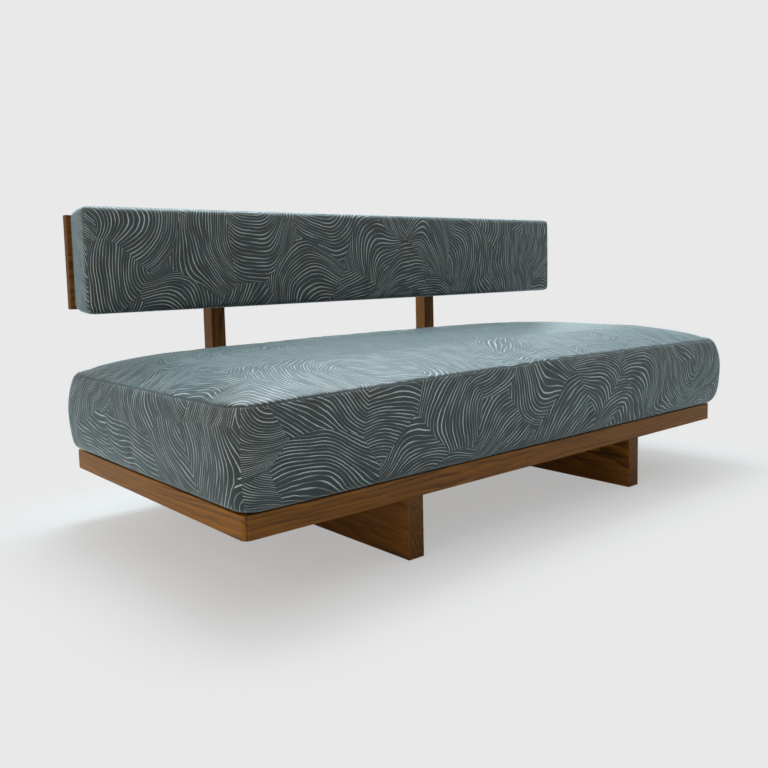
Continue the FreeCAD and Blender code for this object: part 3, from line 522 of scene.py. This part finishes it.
CLEARANCE = 0.0003
RAIL_EDGE = 0.002
ZIP_ROOM = 0.0148
SEAT_CELL = 0.012
SEAT_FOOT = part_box("seat_deck")[1].z + CLEARANCE
SEAT_LENGTH = RAIL_HIGH.x - RAIL_LOW.x - 2 * RAIL_EDGE
SEAT_FRONT = RAIL_LOW.y + RAIL_EDGE
SEAT_REAR = RAIL_REAR - ZIP_ROOM
SEAT_BELLY = 0.031
SEAT_DEPTH = SEAT_REAR - SEAT_BELLY - SEAT_FRONT
SEAT_MIDDLE = (SEAT_FRONT + SEAT_REAR - SEAT_BELLY) / 2
SEAT_BOXING = 0.233
SEAT_CROWN = 0.029
SEAT_CROWN_RUN = (0.24, 0.3)
SEAT_LIFT = 0.006
SEAT_DENT = 0.0022
SEAM_SHARE = 0.72
SEAM_CORNER = 0.056
SEAM_STRIP = 0.004
SEAM_DRAW = 0.0038
FOOT_CORNER = 0.012
END_DROOP, BACK_DROOP, RIGHT_DROOP = 0.009, 0.006, 0.002
# How far blowing out may move the top, the boxing, and the boxing's rear with the zip in it
TOP_MOVE, BOXING_MOVE, REAR_MOVE = 0.020, 0.005, 0.0005


def seat_droop(x, y):
    """How far the boxing's top seam lies below its middle height, most at the back corners."""
    along = abs(2 * x / SEAT_LENGTH) ** 2.6
    back = (y - SEAT_FRONT) / SEAT_DEPTH
    return along * (END_DROOP + BACK_DROOP * back + (RIGHT_DROOP if x > 0 else 0))


def seat_place(x, y, z, on_top):
    """Where a point of the flat box lies on the filled cushion. Its left end is a little fuller,
    lower down, than its right end."""
    half_x, half_y = SEAT_LENGTH / 2, SEAT_DEPTH / 2
    share = z / SEAT_BOXING
    right = x / half_x
    grow = SEAT_BELLY * (1 - 0.06 * right) * swelled(share, SEAM_SHARE, 0.66 + 0.14 * right)
    grow += RAIL_EDGE if share > 0 else 0
    gap_x, gap_y = half_x - abs(x), half_y - abs(y)
    radius = FOOT_CORNER + (SEAM_CORNER - FOOT_CORNER) * share ** 2
    # The front left corner is the best rounded, from the foot up
    if x < 0 and y < 0:
        radius += 0.016 + 0.022 * (1 - share)
    x_round, y_round = rounded(x, y, half_x, half_y, radius)
    x_out = x_round * (half_x + grow) / half_x
    y_out = y_round * (half_y + grow) / half_y
    domed = dome(gap_x, SEAT_CROWN_RUN[0]) * dome(gap_y, SEAT_CROWN_RUN[1])
    rise = SEAT_CROWN * domed if on_top else 0
    lift = share * (SEAT_LIFT - seat_droop(x_out, y_out + SEAT_MIDDLE))
    return Vector((x_out, y_out + SEAT_MIDDLE, SEAT_FOOT + z + lift + rise))


net = sewn_box(SEAT_LENGTH, SEAT_DEPTH, SEAT_BOXING, SEAT_CELL)
lay_cloth(net, SEAT_LENGTH, SEAT_DEPTH, 0.0)
for vert in net.verts:
    flat = vert.co.copy()
    vert.co = seat_place(flat.x, flat.y, flat.z, flat.z > SEAT_BOXING - 1e-4)
    if flat.z > 1e-4:
        vert.co.z += SEAT_DENT * noise.noise(Vector((flat.x * 5, flat.y * 5, flat.z * 9)))
seat = object_of(net, "seat_cushion")
panel = net.faces.layers.int["panel"]
held = [v.index for v in net.verts if len({f[panel] for f in v.link_faces}) > 1
        or v.link_faces[0][panel] == BOTTOM]
net.normal_update()
most = [TOP_MOVE if v.link_faces[0][panel] == TOP else REAR_MOVE if v.normal.y > 0.8
        else REAR_MOVE + BOXING_MOVE * dome((v.co.z - SEAT_FOOT) / SEAT_BOXING, 1) ** 3
        for v in net.verts]
net.free()
blow_out(seat, held, pressure=4.0, slack=0.006, most=most)
sew(seat, (TOP, BOXING), SEAM_STRIP, SEAM_DRAW)
cloth_material = printed_cloth("slate_printed_cloth")
finished(seat, cloth_material, "seat_cushion",
         ("seat_cover", "seat_fibre_wrap", "seat_foam"))

# Back pad: foam on a plywood board, covered in the same cloth, stapled behind.
# Its front is gently crowned, with soft rounded edges and no seam that stands out.

PAD_CELL = 0.0098
PANEL_LOW, PANEL_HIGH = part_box("back_panel")
PAD_LENGTH = PANEL_HIGH.x - PANEL_LOW.x - 0.026
PAD_HEIGHT = PANEL_HIGH.z - PANEL_LOW.z + 0.008
PAD_DEPTH = 0.181
PAD_MIDDLE = (PANEL_LOW.z + PANEL_HIGH.z) / 2 + 0.002
PAD_REAR = PANEL_LOW.y - CLEARANCE
PAD_BULGE = 0.034
PAD_SWELL = 0.008
PAD_CROWN = 0.010
PAD_CROWN_RUN = (0.16, 0.14)
PAD_EASE = 0.011
PAD_ROUND = 0.014


def pad_place(x, y, z):
    """Where a point of the flat box lies on the filled pad: its front edges are eased, then its
    four corners, and its front swells a little."""
    half_x, half_z = PAD_LENGTH / 2, PAD_HEIGHT / 2
    gap_x, gap_z = half_x - abs(x), half_z - abs(y)
    over_front = z - PAD_DEPTH + PAD_EASE
    inset_x = PAD_EASE - turned(PAD_EASE - gap_x, over_front, PAD_EASE)[0]
    inset_z = PAD_EASE - turned(PAD_EASE - gap_z, over_front, PAD_EASE)[0]
    over_front = turned(PAD_EASE - min(gap_x, gap_z), over_front, PAD_EASE)[1]
    share = z / PAD_DEPTH
    grow = 0.95 * share + 0.6 * share * (1 - share)
    x_round, z_round = rounded(math.copysign(half_x - inset_x, x),
                               math.copysign(half_z - inset_z, y), half_x, half_z, PAD_ROUND)
    x_out = x_round * (1 + PAD_BULGE * grow / half_x)
    z_out = z_round * (1 + PAD_SWELL * grow / half_z)
    domed = dome(gap_x, PAD_CROWN_RUN[0]) * dome(gap_z, PAD_CROWN_RUN[1])
    rise = PAD_CROWN * domed if z > PAD_DEPTH - 1e-4 else 0
    y_out = PAD_REAR - (PAD_DEPTH - PAD_EASE) - over_front - rise
    return Vector((x_out, y_out, PAD_MIDDLE + z_out))


net = sewn_box(PAD_LENGTH, PAD_HEIGHT, PAD_DEPTH, PAD_CELL)
lay_cloth(net, PAD_LENGTH, PAD_HEIGHT, 7.3)
for vert in net.verts:
    flat = vert.co.copy()
    vert.co = pad_place(flat.x, flat.y, flat.z)
back_pad = object_of(net, "back_pad")
net.free()
finished(back_pad, cloth_material, "platform",
         ("back_pad_cover", "back_pad_wrap", "back_pad_foam"))

# Zip in the rear boxing: a dark nylon coil chain on woven tape, and a lacquered slider.
# It lies between two plackets, narrow folded strips of the same cloth sewn to the boxing.

TOOTH_MM = 3.0


def coil_chain():
    """The chain gives the eye a row of fine dark ribs, drawn twice as coarse as real teeth."""
    material, tree, shader = start("nylon_coil_chain")
    place = add(tree, "TexCoord").outputs["Object"]
    teeth = add(tree, "TexWave", {"Vector": place, "Scale": WAVE_MM / TOOTH_MM},
                wave_type="BANDS", bands_direction="X")
    tint = add(tree, "Mix", {"Factor": teeth, MIX_A: colour("14181a"),
                             MIX_B: colour("3c4547")}, data_type="RGBA")
    relief = add(tree, "Bump", {"Strength": 0.8, "Distance": 0.0008, "Height": teeth})
    tree.links.new(tint.outputs[MIX_RESULT], shader.inputs["Base Color"])
    tree.links.new(relief.outputs[0], shader.inputs["Normal"])
    shader.inputs["Roughness"].default_value = 0.4
    return material


def lacquered_zinc():
    """Lacquered zinc gives the eye a dark half-metal gloss, slightly scuffed."""
    material, tree, shader = start("lacquered_zinc_alloy")
    place = add(tree, "TexCoord").outputs["Object"]
    wear = add(tree, "TexNoise", {"Vector": place, "Scale": 300, "Detail": 4.0})
    tint = add(tree, "Mix", {"Factor": wear, MIX_A: colour("262b2d"),
                             MIX_B: colour("4b5254")}, data_type="RGBA")
    relief = add(tree, "Bump", {"Strength": 0.2, "Distance": 0.0003, "Height": wear})
    tree.links.new(tint.outputs[MIX_RESULT], shader.inputs["Base Color"])
    tree.links.new(relief.outputs[0], shader.inputs["Normal"])
    shader.inputs["Metallic"].default_value = 0.7
    shader.inputs["Roughness"].default_value = 0.35
    return material


ZIP_LOW, ZIP_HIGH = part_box("zip_chain")
PLACKET_LENGTH = ZIP_HIGH.x - ZIP_LOW.x + 0.02
PLACKET_THICKNESS = 0.0012
PLACKET_FOLD = 0.0004
PLACKET_DEPTH = 0.010
PLACKET_GAP = 0.0065
for side in (-1, 1):
    net = bmesh.new()
    bmesh.ops.create_cube(net, size=1)
    bmesh.ops.scale(net, verts=net.verts, vec=(PLACKET_LENGTH, PLACKET_THICKNESS, PLACKET_DEPTH))
    bmesh.ops.bevel(net, geom=net.edges[:], offset=PLACKET_FOLD, offset_type="OFFSET",
                    affect="EDGES", segments=2, profile=0.5, material=-1)
    height = (ZIP_LOW.z + ZIP_HIGH.z) / 2 + side * (PLACKET_GAP + PLACKET_DEPTH / 2)
    bmesh.ops.translate(net, verts=net.verts, vec=(0, ZIP_LOW.y, height))
    cloth = net.loops.layers.uv.new("cloth")
    for face in net.faces:
        for corner in face.loops:
            corner[cloth].uv = (corner.vert.co.x + 4.6, corner.vert.co.z + 0.3 * side)
    placket = object_of(net, "zip_placket_upper" if side > 0 else "zip_placket_lower")
    net.free()
    placket.data.materials.append(cloth_material)
    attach(placket, "seat_cushion")

dress(coil_chain(), "zip_chain")
dress(lacquered_zinc(), "zip_slider")

# Floor: a plain pale studio sweep under the sofa.
# It fades into the surround, of the same pale grey, a step away from the sofa.

SURROUND_GREY = "e9e9e9"
SHADE_REACH = (0.85, 0.38, 0)
SHADE_FADE = 0.55
FLOOR_HALF = 30


def pale_sweep():
    """Matt paper gives the eye a soft grey shade under the sofa, half hidden by the same grey that
    the surround has and wholly hidden further out."""
    material, tree, shader = start("pale_sweep")
    place = add(tree, "TexCoord").outputs["Object"]
    outside = add(tree, "VectorMath", {0: place}, operation="ABSOLUTE")
    outside = add(tree, "VectorMath", {0: outside, 1: SHADE_REACH}, operation="SUBTRACT")
    outside = add(tree, "VectorMath", {0: outside, 1: (0, 0, 0)}, operation="MAXIMUM")
    reach = add(tree, "VectorMath", {0: outside}, operation="LENGTH").outputs["Value"]
    fade = add(tree, "MapRange", {"Value": reach, "From Min": 0.0, "From Max": SHADE_FADE,
                                  "To Min": 0.5}, interpolation_type="SMOOTHSTEP")
    shader.inputs["Base Color"].default_value = colour("dedede")
    shader.inputs["Roughness"].default_value = 0.9
    glow = add(tree, "Emission", {"Color": colour(SURROUND_GREY), "Strength": 1.0})
    seen = add(tree, "Math", {0: add(tree, "LightPath").outputs["Is Camera Ray"], 1: fade},
               operation="MULTIPLY")
    blended = add(tree, "MixShader", {0: seen, 1: shader, 2: glow})
    tree.links.new(blended.outputs[0], tree.nodes["Material Output"].inputs["Surface"])
    return material


net = bmesh.new()
bmesh.ops.create_grid(net, x_segments=4, y_segments=4, size=FLOOR_HALF)
floor = object_of(net, "floor")
net.free()
floor.data.materials.append(pale_sweep())

# Surround: the camera and reflections see an even pale grey all round.
# The sofa itself gets a weaker, soft fill light from it.

FILL = 0.41
world = bpy.data.worlds.new("surround")
scene.world = world
world.use_nodes = True
sky = world.node_tree
sky.nodes.clear()
rays = add(sky, "LightPath")
seen = add(sky, "Math", {0: rays.outputs["Is Camera Ray"], 1: rays.outputs["Is Glossy Ray"]},
           operation="MAXIMUM")
seen = add(sky, "Math", {0: seen, 1: rays.outputs["Is Transmission Ray"]}, operation="MAXIMUM")
fill = add(sky, "Background", {"Color": colour("f2f5f8"), "Strength": FILL})
shown = add(sky, "Background", {"Color": colour(SURROUND_GREY), "Strength": 1.0})
surround = add(sky, "MixShader", {0: seen, 1: fill, 2: shown})
sky.links.new(surround.outputs[0], add(sky, "OutputWorld").inputs["Surface"])

# Lamps: a cool softbox above and behind, a cool window light from the back right, which makes the
# haze on the seat's top, and a weak warm one from the left.


def softbox(name, spot, target, width, height, power, tint):
    """A large soft lamp that faces a target."""
    lamp = bpy.data.lights.new(name, "AREA")
    lamp.shape = "RECTANGLE"
    lamp.size, lamp.size_y = width, height
    lamp.energy = power
    lamp.color = colour(tint)[:3]
    holder = bpy.data.objects.new(name, lamp)
    holder.location = spot
    holder.rotation_euler = (Vector(target) - Vector(spot)).to_track_quat("-Z", "Y").to_euler()
    scene.collection.objects.link(holder)


softbox("overhead", spot=(0.3, 0.9, 2.9), target=(0.1, 0.0, 0.4), width=2.0, height=1.4,
        power=113, tint="ddf1f9")
softbox("back_window", spot=(2.9, 2.7, 2.1), target=(0.1, -0.2, 0.45), width=2.4, height=1.4,
        power=72, tint="d9edf5")
softbox("left_window", spot=(-3.2, -0.6, 2.0), target=(0, 0, 0.25), width=1.8, height=1.4,
        power=17, tint="ffeed8")

# Camera: the photograph's own view, found from the platform's corners and edges.
# The picture was cropped, so its optical axis passes above the picture's middle.

PICTURE = 768
FOCAL_PIXELS = 822.1
AXIS_ROW = 349
YAW, PITCH, ROLL = math.radians(40.53), math.radians(5.64), math.radians(-1.28)
EYE = (-1.7969, -1.9190, 0.7133)
camera = bpy.data.cameras.new("photo_view")
camera.sensor_width = 36
camera.lens = FOCAL_PIXELS / PICTURE * camera.sensor_width
camera.shift_y = (AXIS_ROW - PICTURE / 2) / PICTURE
viewer = bpy.data.objects.new("photo_view", camera)
forward = Vector((math.sin(YAW) * math.cos(PITCH), math.cos(YAW) * math.cos(PITCH),
                  -math.sin(PITCH)))
level = Vector((math.cos(YAW), -math.sin(YAW), 0))
upright = level.cross(forward)
right = level * math.cos(ROLL) + upright * math.sin(ROLL)
up = upright * math.cos(ROLL) - level * math.sin(ROLL)
viewer.matrix_world = (Matrix.Translation(EYE)
                       @ Matrix((right, up, -forward)).transposed().to_4x4())
scene.collection.objects.link(viewer)
scene.camera = viewer
